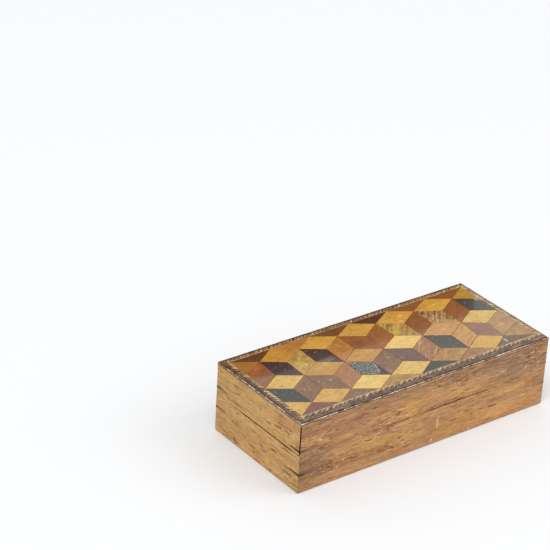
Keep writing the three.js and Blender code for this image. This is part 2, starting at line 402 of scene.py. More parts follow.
def filler_extras(look, colour, streaks):
    """A speckled oval of old filler let into a dark lozenge, a little left of the lid's middle."""
    stir = look.pattern(8.5, 0.5, 3, 0.6)
    colour = look.mix(look.spot(*on_lid(-21, 1, 4.2, 3.6), stir, 0.3, edge=0.6), colour, rgb(150, 106, 74))
    colour = look.mix(look.spot(*on_lid(-12.4, -13, 3.4, 5), stir, 0.3, edge=0.6), colour, rgb(50, 40, 34))
    outer = look.spot(*on_lid(-17, -7.2, 5.4, 7.4), stir, 0.35, edge=0.94)
    inner = look.spot(*on_lid(-17.2, -6.8, 5.0, 6.9), stir, 0.35, edge=0.86)
    grit = look.pattern(9.5, 1.5, 3, 0.75)
    speckle = look.ramp(grit, [(0.42, rgb(26, 34, 28)), (0.53, rgb(74, 90, 76)), (0.66, rgb(212, 214, 198))])
    rim = look.ramp(grit, [(0.46, rgb(24, 22, 18)), (0.54, rgb(110, 104, 88)), (0.6, rgb(232, 222, 206))])
    colour = look.mix(outer, colour, rim)
    return look.mix(inner, colour, speckle)


def scratched(light, dark, amount, seed, base=None):
    """Extras for wood(): what base adds, then slanting scratches through worn polish."""
    def add(look, colour, streaks):
        if base:
            colour = base(look, colour, streaks)
        slant = look.coordinates(seed=seed, turn=(0, 0, math.radians(50)), stretch=(9, 1, 1))
        lines = look.noise(slant, 1.0, 3, 0.6)
        colour = look.mix(look.fade(lines, 0.53, 0.6, 0.0, amount), colour, rgb(*light))
        return look.mix(look.fade(lines, 0.44, 0.38, 0.0, amount), colour, rgb(*dark))
    return add


def scratched_extras(look, colour, streaks):
    """A badly scratched lozenge with a plum stain and a peach patch."""
    colour = scratched((204, 166, 104), (96, 60, 44), 0.85, 3.5)(look, colour, streaks)
    stir = look.pattern(4.5, 0.8, 3, 0.6)
    colour = look.mix(look.spot(*on_lid(34, 16.6, 1.6, 1.4), stir, 0.8), colour, rgb(96, 56, 56))
    peach = look.times(look.spot(*on_lid(36.5, 3.8, 7.5, 3.6), stir, 1.2, edge=0.5), 0.8)
    return look.mix(peach, colour, rgb(184, 140, 78))


# Patches on single lozenges, and thin marks on them: tone and strength, then the four numbers for on_lid
LOZENGE_PATCHES = {
    ("row_1", 1): [((168, 104, 42), 0.8, -34.6, 20, 3.6, 4)],
    ("row_1", 4): [((208, 166, 60), 0.7, 27, 17, 3, 2.6)],
    ("row_1", 5): [((202, 166, 60), 0.7, 44.5, 16.5, 3.4, 3)],
    ("band_1", 0): [((196, 98, 34), 0.7, -58, 17, 5, 3), ((140, 100, 78), 0.8, -60, 7, 7, 4)],
    ("band_1", 2): [((196, 176, 86), 0.7, -39, 9, 4, 4), ((150, 124, 74), 0.7, -36, 15, 3, 3)],
    ("band_1", 3): [((128, 112, 108), 0.55, -28, 6, 6, 3.5)],
    ("band_1", 5): [((112, 66, 40), 0.6, -7, 10, 4, 4)],
    ("band_1", 7): [((116, 80, 58), 0.9, 14, 15.6, 3, 2.2), ((208, 174, 70), 0.8, 13.5, 9.5, 3.4, 2.8),
                    ((146, 104, 76), 0.8, 17.4, 4.5, 3.6, 2.8)],
    ("band_1", 11): [((170, 140, 112), 0.7, 63.5, 14, 1.8, 1.8)],
    ("row_2", 0): [((226, 168, 84), 0.8, -56, -1.5, 4.5, 1.2)],
    ("row_2", 1): [((198, 146, 88), 0.8, -34.5, 2, 3.2, 2.6), ((206, 170, 84), 0.6, -30, 4, 3, 2)],
    ("row_2", 4): [((212, 152, 92), 0.8, 33, 0.4, 3.2, 1.8), ((206, 172, 104), 0.6, 33, 4, 4, 1.8)],
    ("band_2", 5): [((150, 104, 104), 0.7, -9.5, -14.6, 2.4, 2.4)],
    ("band_2", 6): [((88, 84, 84), 0.9, 6.4, -8, 3.5, 3)],
    ("band_2", 7): [((132, 76, 60), 0.6, 17.4, -10.6, 2.4, 2.8),
                    ((204, 158, 116), 0.8, 21.6, -12.2, 2.4, 2.6)],
    ("band_2", 10): [((100, 96, 100), 0.8, 45, -8, 1.8, 2.6)],
    ("band_2", 11): [((168, 118, 98), 0.9, 61.8, -7.2, 3.8, 3.6), ((196, 152, 80), 0.8, 57, -9.5, 3, 4.4)],
    ("row_3", 4): [((196, 140, 84), 0.7, 27, -19, 4, 2), ((150, 108, 80), 0.7, 22, -16, 3, 2)],
    ("row_3", 6): [((190, 142, 82), 0.6, 59, -19, 3, 2.2), ((146, 100, 66), 0.8, 62, -13.5, 3, 2.2)],
    ("front_edge", 1): [((112, 106, 72), 0.8, -33.4, -22.2, 2.4, 2)],
    ("front_edge", 4): [((184, 126, 84), 0.7, 39, -22, 3, 2)],
    ("front_edge", 5): [((88, 86, 58), 0.9, 46.5, -21.5, 3, 2)],
}
LOZENGE_MARKS = {
    ("row_1", 4): [((238, 192, 112), 0.8, 23.6, 20, 1.9, 0.7),
                   ((240, 190, 112), 0.8, 21.6, 16.6, 1.6, 0.5)],
    ("row_1", 5): [((234, 186, 110), 0.8, 43.8, 20.2, 2.2, 0.8)],
    ("band_1", 2): [((116, 92, 60), 0.8, -40, 6, 0.5, 1.4), ((214, 196, 120), 0.8, -37, 8, 0.4, 1.6)],
    ("band_1", 4): [((228, 176, 108), 0.8, -16, 13.6, 0.3, 2)],
    ("row_2", 0): [((120, 82, 50), 0.8, -57, -1.2, 1.5, 0.35), ((140, 92, 52), 0.7, -53, -1.6, 1.2, 0.25)],
    ("band_2", 1): [((196, 176, 150), 0.7, -50, -8, 0.5, 0.7), ((92, 60, 70), 0.6, -47.5, -4, 0.8, 0.8)],
    ("band_2", 2): [((206, 186, 160), 0.8, -36, -7.4, 0.8, 0.6), ((196, 170, 150), 0.7, -41, -6, 0.4, 0.8)],
    ("band_2", 5): [((70, 52, 50), 0.8, -2.8, -7.6, 1.2, 1), ((206, 186, 170), 0.8, -3.6, -5.6, 0.8, 0.4)],
    ("band_2", 7): [((120, 60, 50), 0.7, 15, -6, 0.8, 0.5), ((212, 180, 140), 0.7, 16, -3.5, 1.6, 0.4)],
    ("front_edge", 5): [((196, 188, 172), 0.8, 49.8, -20.8, 0.7, 2.4)],
}
# Scratched lozenges: the scratches' pale and dark tones, their strength and their seed
SCRATCHED = {
    ("band_1", 7): ((204, 172, 84), (132, 94, 58), 0.6, 6.5),
    ("band_2", 7): ((200, 156, 114), (116, 66, 54), 0.5, 2.2),
    ("row_3", 4): ((196, 154, 82), (136, 90, 54), 0.4, 4.8),
}


def lozenge_extras(spot):
    """The extras for the lozenge at a spot, given as its row and its place in it, if it has any."""
    special = {("band_2", 4): filler_extras, ("band_1", 9): scratched_extras}
    if spot in special:
        return special[spot]
    if spot not in LOZENGE_PATCHES and spot not in LOZENGE_MARKS:
        return None
    patched = with_patches(LOZENGE_PATCHES.get(spot, []), LOZENGE_MARKS.get(spot, []))
    return scratched(*SCRATCHED[spot], patched) if spot in SCRATCHED else patched


def veneer(name, row, place, seed, angle, tone):
    species = ROWS[row][place]
    mottled = "olive" in species
    dark_wood = "slate" in species or "plum" in species
    stained = any(kind in species for kind in ("peach", "mauve", "fawn", "tan", "rosewood"))
    spread = 0.3 if mottled else 0.09
    return wood(name, shades(tint(rgb(*SPECIES[species]), tone), spread), seed, turn=(0, 0, angle),
                figure=0.35 if mottled else 0.2, stretch=2.0 if mottled else 6.0, fibre=0.12,
                pores=0.1 if dark_wood else 0.55, pore_size=0.7, flecks=0.22, roughness=0.26, coat=0.6,
                coat_roughness=0.05, bump=0.008, specks=0.4 if dark_wood else 0.45,
                speck_tone=rgb(196, 184, 160) if dark_wood or stained else None,
                stains=0.7 if stained else 0.45, streak=0.18, extras=lozenge_extras((row, place)))


# Geometry helpers

def new_object(name, mesh, materials):
    piece = bpy.data.objects.new(name, mesh)
    bpy.context.scene.collection.objects.link(piece)
    for material in materials:
        mesh.materials.append(material)
    return piece


def pairs(points):
    """Each point with the next one, all the way round."""
    return list(zip(points, points[1:] + points[:1]))


def inset(outline, by):
    """A convex outline, counterclockwise, with every side moved in by a width."""
    sides = []
    for start, end in pairs(outline):
        along = (end - start).normalized()
        sides.append((start + Vector((-along.y, along.x)) * by, along))
    moved = []
    for i, (point, along) in enumerate(sides):
        last_point, last_along = sides[i - 1]
        step = point - last_point
        crossing = last_along.x * along.y - last_along.y * along.x
        reach = (step.x * along.y - step.y * along.x) / crossing
        moved.append(last_point + last_along * reach)
    return moved


def add_prism(bm, outline, low, high, bevel, index=0):
    """An upright prism with its upper edges eased, in material slot index."""
    base = [bm.verts.new((x, y, low)) for x, y in outline]
    top = [bm.verts.new((x, y, high)) for x, y in outline]
    faces = [bm.faces.new(top), bm.faces.new(list(reversed(base)))]
    for (base_here, base_next), (top_here, top_next) in zip(pairs(base), pairs(top)):
        faces.append(bm.faces.new((base_here, base_next, top_next, top_here)))
    for face in faces:
        face.material_index = index
    if bevel:
        bmesh.ops.bevel(bm, geom=list(faces[0].edges), offset=bevel, segments=2, affect="EDGES", profile=0.5)


def mesh_from(bm, name):
    mesh = bpy.data.meshes.new(name)
    bm.to_mesh(mesh)
    bm.free()
    return mesh


def plan_of(nodes):
    """The rectangle in plan that a set of CAD nodes covers."""
    boxes = [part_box(node) for node in nodes]
    low = Vector((min(box[0].x for box in boxes), min(box[0].y for box in boxes)))
    high = Vector((max(box[1].x for box in boxes), max(box[1].y for box in boxes)))
    return low, high


def finish_lid_piece(piece, node):
    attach(piece, "lid")
    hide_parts(node)


# Parquetry: tumbling blocks. Across counts half lozenges from the left end, and down counts lozenge sides
# from the back edge

HALVES_ACROSS = 12
SIDES_DOWN = 4
# Gaps between veneers are twice this wide, in millimetres. One veneer has shrunk
JOINT = 0.06
SHRUNK = {("band_2", 9): 0.17}
# How far single veneers and slips may lie below the lid's top, in millimetres
UNEVEN = 0.03

# How far each upright joint line strays to the right, in millimetres, from left to right
STRAY = {
    0.5: (0, 0.3, -0.6, -0.3, -1.0, -1.0, -0.5, -1.1, -0.7, -0.8, -0.1, 0.1, 0),
    2.0: (0, -1.0, -1.1, -1.0, -1.1, -1.5, -1.3, -0.4, -0.8, -0.5, 0.2, -0.1, 0),
    3.5: (0, -0.8, -1.2, -1.6, -1.8, -1.5, -0.8, -1.3, -1.2, -1.1, -1.7, -2.5, 0),
}


def stray(across, down):
    first, last = (0.5, 2.0) if down < 2.0 else (2.0, 3.5)
    share = min(max((down - first) / (last - first), 0.0), 1.0)
    line = min(max(across, 0), HALVES_ACROSS)
    return (STRAY[first][line] * (1 - share) + STRAY[last][line] * share) * MM


def falls(band, place):
    """Whether a band's lozenge slopes to the front from left to right, as every second one does."""
    return (place % 2 == 1) == (band == "band_1")


def lozenge_outlines(low, high):
    """Yields (row, place in the row, outline) for every veneer in the field."""
    half = (high.x - low.x) / HALVES_ACROSS
    side = (high.y - low.y) / SIDES_DOWN

    def corner(across, down):
        return Vector((low.x + across * half + stray(across, down), high.y - down * side))

    for place in range(HALVES_ACROSS // 2):
        left, middle, right = 2 * place, 2 * place + 1, 2 * place + 2
        yield "back_edge", place, [corner(left, 0), corner(middle, 0.5), corner(right, 0)]
        yield "front_edge", place, [corner(left, 4), corner(right, 4), corner(middle, 3.5)]
    for row, down, first, count in (("row_1", 0.5, 0, 7), ("row_2", 2, 1, 6), ("row_3", 3.5, 0, 7)):
        for place in range(count):
            across = first + 2 * place
            outline = [corner(across, down + 0.5), corner(across + 1, down),
                       corner(across, down - 0.5), corner(across - 1, down)]
            if across == 0:
                outline = outline[:3]
            if across == HALVES_ACROSS:
                outline = [outline[0], outline[2], outline[3]]
            yield row, place, outline
    for band, top in (("band_1", 0.5), ("band_2", 2)):
        for place in range(HALVES_ACROSS):
            left, right = (top, top + 0.5) if falls(band, place) else (top + 0.5, top)
            yield band, place, [corner(place, left + 1), corner(place + 1, right + 1),
                                corner(place + 1, right), corner(place, left)]


def grain_angle(row, place, chance):
    """The grain lies along the box, or along the sloping sides in the bands, give or take a little."""
    swing = chance.uniform(-0.12, 0.12)
    if row.startswith("band"):
        return (-math.pi / 6 if falls(row, place) else math.pi / 6) + swing
    return swing


def build_parquetry():
    low, high = plan_of(["parquetry_field"])
    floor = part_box("parquetry_field")[0].z
    chance = random.Random(61)
    for count, (row, place, outline) in enumerate(lozenge_outlines(low, high)):
        name = f"veneer_{row}_{place + 1}"
        tone = chance.uniform(0.95, 1.05)
        material = veneer(name, row, place, 1.7 * count + 2, grain_angle(row, place, chance), tone)
        joint = SHRUNK.get((row, place), JOINT) * MM
        sunk = chance.uniform(0.0, UNEVEN) * MM
        bm = bmesh.new()
        add_prism(bm, inset(outline, joint), floor, TOP - sunk, 0.05 * MM)
        piece = new_object(name, mesh_from(bm, name), [material])
        finish_lid_piece(piece, "parquetry_field")


# Border: the lid's nested frames, read from the CAD strips

EDGES = ("front", "back", "left", "right")
# How thick the rope banding's pale line and the arris's white line are, in millimetres
LINE_DEPTH = 0.3
WHITE_LINE_DEPTH = 0.36


def rings():
    kinds = ("edge_stringing", "border_strip", "rope_banding")
    made = [plan_of([f"{kind}_{edge}" for edge in EDGES]) for kind in kinds]
    made.append(plan_of(["parquetry_field"]))
    return made


def between(outer, inner, share):
    """The rectangle that lies a share of the way from an outer to an inner one."""
    return outer[0].lerp(inner[0], share), outer[1].lerp(inner[1], share)


def corners(rectangle):
    (left, front), (right, back) = rectangle
    return [Vector((left, front)), Vector((right, front)), Vector((right, back)), Vector((left, back))]


def frame_side(edge, outer, inner):
    """One side of a mitred frame between two rectangles, counterclockwise, its outer side first."""
    start = ("front", "right", "back", "left").index(edge)
    end = (start + 1) % 4
    outside, inside = corners(outer), corners(inner)
    return [outside[start], outside[end], inside[end], inside[start]]


def clipped(outline, region):
    """The part of an outline that lies inside a convex region, both counterclockwise."""
    result = list(outline)
    for start, end in pairs(region):
        inward = Vector((start.y - end.y, end.x - start.x))
        kept = []
        for point, following in pairs(result):
            depth = (point - start).dot(inward)
            next_depth = (following - start).dot(inward)
            if depth >= 0:
                kept.append(point)
            if (depth > 0) != (next_depth > 0) and depth != next_depth:
                kept.append(point.lerp(following, depth / (depth - next_depth)))
        result = kept
        if len(result) < 3:
            return []
    return tidy(result)


def tidy(outline):
    """The outline without points that fall on the one before."""
    nearest = 0.002 * MM
    kept = []
    for point in outline:
        if not kept or (point - kept[-1]).length > nearest:
            kept.append(point)
    while len(kept) > 1 and (kept[0] - kept[-1]).length <= nearest:
        kept.pop()
    return kept if len(kept) > 2 else []


def side_frame(region):
    """The start, direction, inward direction, length and breadth of a frame's side."""
    start, end = region[0], region[1]
    along = (end - start).normalized()
    across = Vector((-along.y, along.x))
    return start, along, across, (end - start).length, (region[2] - region[1]).dot(across)


# For each edge: the slips' pitch and lean in millimetres, the pale slips' share of the length, the slips'
# share of the breadth (a pale line takes the rest), the pale slips' woods, and the dark slips' woods
ROPES = {
    "front": (2.5, 1.5, 0.5, 0.62, ("rope_cream", "rope_cream", "rope_tan"),
              ("rope_dark", "rope_brown", "rope_green")),
    "back": (2.0, 1.2, 0.6, 0.84, ("rope_tan", "rope_tan", "rope_cream"),
             ("rope_brown", "rope_dirty", "rope_dirty")),
    "left": (2.0, 1.2, 0.55, 0.9, ("rope_cream", "rope_tan", "rope_cream"),
             ("rope_dark", "rope_brown", "rope_brown")),
    "right": (2.2, 1.4, 0.72, 0.8, ("rope_cream", "rope_cream", "rope_tan"),
              ("rope_brown", "rope_dirty", "rope_green")),
}
ROPE_KINDS = ("rope_cream", "rope_tan", "rope_dirty", "rope_dark", "rope_brown", "rope_green", "pale_line")


def rope_slips(region, pitch, lean, pale_share, chance):
    """Yields (is pale, outline) for the S-shaped slips of a rope-twist banding. Pale ones widen inwards."""
    start, along, across, length, breadth = side_frame(region)
    flare = 0.45 * MM
    steps = [i / 4 for i in range(5)]

    def boundary(place, slant, side):
        """The S-shaped line between two slips."""
        points = []
        for share in steps:
            shift = slant * (3 * share * share - 2 * share ** 3) + side * flare * (share - 0.5)
            points.append(start + along * (place + shift) + across * (breadth * share))
        return points

    place, slant, is_pale = -2 * lean, lean, True
    while place < length + lean:
        share = pale_share if is_pale else 1 - pale_share
        following = place + share * pitch * chance.uniform(0.6, 1.5)
        next_slant = lean * chance.uniform(0.75, 1.25)
        side = 1 if is_pale else -1
        near = boundary(place, slant, -side)
        far = boundary(following, next_slant, side)
        shape = clipped(near[:1] + far + near[:0:-1], region)
        if shape:
            yield is_pale, shape
        place, slant, is_pale = following, next_slant, not is_pale


def build_rope(edge, outer, inner, floor, paints, chance):
    """Slanting slips, and inside them a broken pale line over a dark bed."""
    pitch, lean, pale_share, slip_share, pale_kinds, dark_kinds = ROPES[edge]
    lined = between(outer, inner, slip_share)
    banding = frame_side(edge, outer, lined)
    bm = bmesh.new()
    for is_pale, shape in rope_slips(banding, pitch * MM, lean * MM, pale_share, chance):
        kind = chance.choice(pale_kinds if is_pale else dark_kinds)
        sunk = chance.uniform(0.0, UNEVEN) * MM
        add_prism(bm, shape, floor, TOP - sunk, 0, ROPE_KINDS.index(kind))
    line = frame_side(edge, lined, inner)
    bed = TOP - LINE_DEPTH * MM
    add_prism(bm, line, floor, bed, 0, ROPE_KINDS.index("rope_dark"))
    for shape in broken_lengths(line, 0.9, 4.5, chance):
        kind = chance.choice(("pale_line", "pale_line", "pale_line", "rope_cream", "rope_tan"))
        add_prism(bm, shape, bed, TOP, 0.03 * MM, ROPE_KINDS.index(kind))
    name = f"rope_twist_{edge}"
    piece = new_object(name, mesh_from(bm, name), [paints[kind] for kind in ROPE_KINDS])
    finish_lid_piece(piece, f"rope_banding_{edge}")


def broken_lengths(region, shortest, longest, chance):
    """Cuts a frame's side into short lengths, given in millimetres, with narrow gaps between them."""
    start, along, across, length, breadth = side_frame(region)
    place = 0.0
    while place < length:
        following = place + chance.uniform(shortest, longest) * MM
        end = following - chance.uniform(0.08, 0.5) * MM
        near, far = start + along * place, start + along * end
        shape = clipped([near, far, far + across * breadth, near + across * breadth], region)
        if shape:
            yield shape
        place = following


# Stretches of the white line that are worn down to bare wood, in millimetres from the side's start, and
# how deep the wear is
BARE = {"front": (18.3, 21.8), "left": (0.0, 8.0)}
BARE_WEAR = 0.14


def build_stringing(edge, outer, inner, floor, paints, chance):
    """A worn white line on the arris, partly a painted highlight, with a black line inside it and black
    painted shadow under it.
    """
    split = between(outer, inner, 0.5 if edge == "front" else 0.6)
    ledge = TOP - WHITE_LINE_DEPTH * MM
    region = frame_side(edge, outer, split)
    bare_from, bare_to = BARE.get(edge, (0.0, 0.0))
    white_and_highlight_index, black_and_shade_index, bare_index = range(3)
    bm = bmesh.new()
    # White lengths: a worn pale line whose colour is partly a painted highlight along the arris
    for shape in broken_lengths(region, 0.9, 3.5, chance):
        middle = (sum(shape, Vector((0, 0))) / len(shape) - region[0]).length / MM
        bare = bare_from < middle < bare_to
        wear = BARE_WEAR if bare else chance.uniform(0.0, 0.04)
        add_prism(bm, shape, ledge, TOP - wear * MM, 0.05 * MM, bare_index if bare else white_and_highlight_index)
    # Black under the white line: painted shadow at the joint between lid and side
    add_prism(bm, region, floor, ledge, 0, black_and_shade_index)
    add_prism(bm, frame_side(edge, split, inner), floor, TOP - 0.03 * MM, 0, black_and_shade_index)
    # The front, left and right lines carry the painted highlight; the back line is a darker copy without it
    line = paints["dull_line" if edge == "back" else "white_line_and_highlight"]
    materials = [line, paints["black_line_and_shade"], paints["bare_line"]]
    piece = new_object(f"stringing_{edge}", mesh_from(bm, "stringing"), materials)
    finish_lid_piece(piece, f"edge_stringing_{edge}")


def build_border(paints):
    ring = rings()
    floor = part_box("parquetry_field")[0].z
    chance = random.Random(17)
    for edge in EDGES:
        build_rope(edge, ring[2], ring[3], floor, paints, chance)
        bm = bmesh.new()
        band = inset(frame_side(edge, ring[1], ring[2]), 0.02 * MM)
        add_prism(bm, band, floor, TOP - 0.01 * MM, 0.04 * MM)
        paint_name = "left_crossband" if edge == "left" else "crossband"
        piece = new_object(f"crossband_{edge}", mesh_from(bm, "crossband"), [paints[paint_name]])
        finish_lid_piece(piece, f"border_strip_{edge}")
        build_stringing(edge, ring[0], ring[1], floor, paints, chance)


def border_paints():
    dark_band = (rgb(34, 20, 12), rgb(94, 65, 44), rgb(150, 117, 88))
    darkest_band = (rgb(24, 14, 6), rgb(94, 62, 34), rgb(152, 116, 78))
    # Tones of the white line, partly a painted highlight along the arris
    white = (rgb(120, 90, 66), rgb(208, 184, 158), rgb(240, 228, 212))
    dull = (rgb(64, 36, 16), rgb(112, 74, 38), rgb(154, 116, 70))
    common = dict(coat=0.4, roughness=0.36, coat_roughness=0.1, pores=0.3, pore_size=0.6, flecks=0.2,
                  bump=0.01)
    band = dict(stretch=3, figure=0.5, specks=0.6)
    unpolished = dict(gleam=0.2, coat=0)
    line = dict(stretch=2.5, figure=0.6, **unpolished)
    woods = {
        "rope_cream": (shades(rgb(204, 174, 122), 0.3), 12.0, dict(dirt=0.6, specks=0.3)),
        "rope_tan": (shades(rgb(176, 134, 84), 0.3), 12.5, dict(dirt=0.6, specks=0.3)),
        "rope_dirty": (shades(rgb(116, 92, 66), 0.3), 12.8, dict(dirt=0.5, specks=0.5)),
        "rope_dark": (shades(rgb(56, 42, 30), 0.3), 13.0, dict(specks=0.4)),
        "rope_brown": (shades(rgb(92, 68, 46), 0.3), 13.5, dict(specks=0.4)),
        "rope_green": (shades(rgb(66, 70, 54), 0.3), 13.8, dict(specks=0.4)),
        "pale_line": (shades(rgb(206, 176, 128), 0.3), 14.0, dict(dirt=0.5, specks=0.4)),
        "crossband": (dark_band, 15.0, dict(flecks=0.9, **band)),
        "left_crossband": (darkest_band, 15.5, dict(flecks=0.7, turn=ALONG_Y, **band)),
        "white_line_and_highlight": (white, 16.0, dict(dirt=0.7, **line)),
        # The back edge's line: the same line, darker, without the painted highlight
        "dull_line": (dull, 16.5, dict(dirt=0.5, **line)),
        "bare_line": (shades(rgb(150, 112, 80), 0.3), 16.8, dict(dirt=0.5, **unpolished)),
        # Black line on the lid, which also serves as painted shadow under the white line
        "black_line_and_shade": (shades(rgb(34, 26, 20), 0.4), 17.0, dict(specks=0.3, **unpolished)),
    }
    return {name: wood(name, tones, seed, **{**common, **settings})
            for name, (tones, seed, settings) in woods.items()}


# Boards: each CAD board with its arrises eased

# Angles between two faces, in radians, below which an edge is no edge, and above which it is eased
FLAT_ANGLE = 0.02
SHARP_ANGLE = 0.6
# Each board's body, material slot, paint, and the width of its eased arrises in millimetres
BOARDS = {
    "front_side": ("carcass", "side_wood", "front", 0.18),
    "back_side": ("carcass", "side_wood", "back", 0.18),
    "right_end": ("carcass", "end_wood", "right", 0.18),
    "left_end_lower": ("carcass", "end_wood", "left", 0.12),
    "base_board": ("carcass", "base_wood", "base", 0.18),
    "lock_ledge": ("carcass", "base_wood", "base", 0.3),
    "lid_end_block": ("lid", "end_wood", "left", 0.12),
    "lid_core": ("lid", "base_wood", "base", 0.18),
    "lid_cleat": ("lid", "base_wood", "base", 0.3),
}


def worn_board(node, body, slot, material, ease):
    mesh = NODES[node].data.copy()
    mesh.materials.clear()
    piece = new_object(f"{node}_worn", mesh, [material])
    bm = bmesh.new()
    bm.from_mesh(mesh)
    bmesh.ops.remove_doubles(bm, verts=bm.verts, dist=1e-6)
    flat = [e for e in bm.edges if len(e.link_faces) == 2 and e.calc_face_angle() < FLAT_ANGLE]
    bmesh.ops.dissolve_edges(bm, edges=flat, use_verts=True)
    sharp = [e for e in bm.edges if len(e.link_faces) == 2 and e.calc_face_angle() > SHARP_ANGLE]
    bmesh.ops.bevel(bm, geom=sharp, offset=ease * MM, segments=2, affect="EDGES", profile=0.5,
                    clamp_overlap=True)
    bm.to_mesh(mesh)
    bm.free()
    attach(piece, body)
    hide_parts(node)


def paint(node, material):
    data = NODES[node].data
    data.materials.clear()
    data.materials.append(material)


def foot_wear(look, colour, tone):
    """Rubbed, brighter wood along the bottom edge."""
    height = look.axes()[2]
    rub = look.pattern(21, 0.6, 4, 0.7, stretch=(1.5, 1.5, 1))
    near = look.fade(height, 0.3, 2.2, 1.0, 0.0)
    return look.mix(look.times(near, look.fade(rub, 0.42, 0.6, 0.0, 0.75)), colour, rgb(*tone))


GOLD = (206, 154, 84)
YELLOW = (206, 162, 82)
ORANGE = (206, 144, 78)
ROSE = (158, 106, 84)
DUSK = (140, 102, 80)
SMOKE = (150, 120, 94)
INK = (68, 34, 14)
RUST = (106, 58, 32)
CREAM = (224, 188, 142)

# Tone and strength, then the distance from the left end, the height, and half the length and height, in
# millimetres. On the left end, the distance is from the back
FRONT_PATCHES = [
    ((158, 120, 90), 0.7, 66, 31, 84, 6),
    ((148, 112, 84), 0.65, 84, 30, 22, 5),
    ((150, 114, 84), 0.6, 6, 28, 14, 5),
    ((140, 104, 78), 0.85, 5, 11, 18, 13),
    ((206, 158, 106), 0.7, 58, 9, 15, 9),
    ((206, 160, 108), 0.6, 93, 12, 13, 4),
    ((118, 106, 78), 0.7, 2, 20.5, 5, 2),
    (YELLOW, 0.8, 23.5, 20.2, 6, 1.1),
    (ROSE, 0.85, 24, 18.1, 6, 0.9),
    (ROSE, 0.6, 30, 27, 4, 3),
    (ROSE, 0.55, 40, 29.5, 6, 2),
    (GOLD, 0.85, 62, 23.5, 14, 3),
    ((186, 140, 74), 0.7, 25, 14.5, 6, 2.2),
    (GOLD, 0.65, 35, 12, 6, 6),
    (YELLOW, 0.8, 47, 11, 15, 2.8),
    ((176, 124, 98), 0.7, 45, 16.5, 8, 1.6),
    ((166, 120, 66), 0.7, 46, 7, 9, 2),
    (YELLOW, 0.85, 89, 21, 11, 2),
    (ROSE, 0.8, 75, 19.2, 13, 1.1),
    (SMOKE, 0.85, 121, 24.5, 27, 9.5),
    ((210, 158, 98), 0.8, 116, 14, 18, 3.4),
    ((208, 150, 88), 0.6, 112, 4, 26, 4),
    (GOLD, 0.6, 84, 7, 22, 7),
    (DUSK, 0.4, 107, 11, 8, 1.2),
    (DUSK, 0.5, 22, 23, 16, 3.4),
    (GOLD, 0.6, 61, 18.5, 9, 4),
    ((132, 106, 86), 0.6, 104, 29.5, 18, 4.5),
    ((224, 172, 108), 0.7, 110, 5, 12, 4),
]

FRONT_BUSY = [
    along_front(8, 22, 14, 9),
    along_front(20, 9, 18, 5),
    along_front(44, 19, 26, 9),
    along_front(50, 8, 16, 5),
    along_front(82, 29, 22, 4.5),
    along_front(128, 26, 14, 9),
]

FRONT_MARKS = [
    (RUST, 0.8, 68, 17.9, 54, 0.36),
    (INK, 0.85, 79, 18.0, 14, 0.55),
    (INK, 0.8, 97, 17.8, 6, 0.42),
    (RUST, 0.8, 115, 17.9, 7, 0.42),
    (INK, 0.7, 52, 17.9, 9, 0.3),
    (INK, 0.7, 14, 9.6, 8, 0.3),
    (INK, 0.75, 82.5, 8.7, 3.6, 0.4),
    (RUST, 0.85, 98.5, 9.2, 2.8, 0.45),
    (RUST, 0.85, 104.5, 8.7, 3.6, 0.45),
    (INK, 0.7, 28.5, 8.3, 2.6, 0.4),
    (INK, 0.7, 56.5, 4.3, 4, 0.35),
    (RUST, 0.7, 36, 14, 2.4, 0.4),
    (RUST, 0.7, 38, 29, 2.4, 0.5),
    (RUST, 0.6, 127.5, 29.5, 0.4, 1.6),
    (RUST, 0.6, 130, 29.2, 0.4, 1.4),
    (CREAM, 0.8, 73.8, 9.6, 0.6, 4.6),
    (CREAM, 0.85, 71, 2.3, 0.9, 1.1),
    (CREAM, 0.8, 92.3, 1.3, 0.9, 0.9),
    (CREAM, 0.7, 110, 24.4, 2.2, 0.6),
    (CREAM, 0.7, 123, 8.4, 2, 0.6),
]

LEFT_PATCHES = [
    ((176, 128, 86), 0.7, 46, 28, 9, 5),
    ((208, 168, 102), 0.7, 8, 29, 10, 4),
    ((176, 134, 88), 0.5, 55, 30, 7, 4),
    ((204, 164, 74), 0.8, 41.5, 20.3, 3, 1.3),
    ((190, 160, 92), 0.5, 20, 31, 16, 2.4),
    ((188, 164, 98), 0.6, 2, 24, 4, 5),
    ((208, 160, 112), 0.6, 5, 13, 6, 4),
    ((204, 154, 86), 0.6, 38, 12.5, 11, 4),
    ((184, 132, 82), 0.6, 31, 4.5, 9, 2.6),
    ((176, 130, 86), 0.6, 4, 7, 6, 5),
    ((150, 108, 76), 0.6, 58, 22, 5, 4),
    ((192, 142, 88), 0.5, 52, 29, 5, 4),
]

LEFT_BUSY = [
    along_left(46, 24, 13, 6),
    along_left(36, 12, 9, 6),
    along_left(53, 7, 8, 6),
]

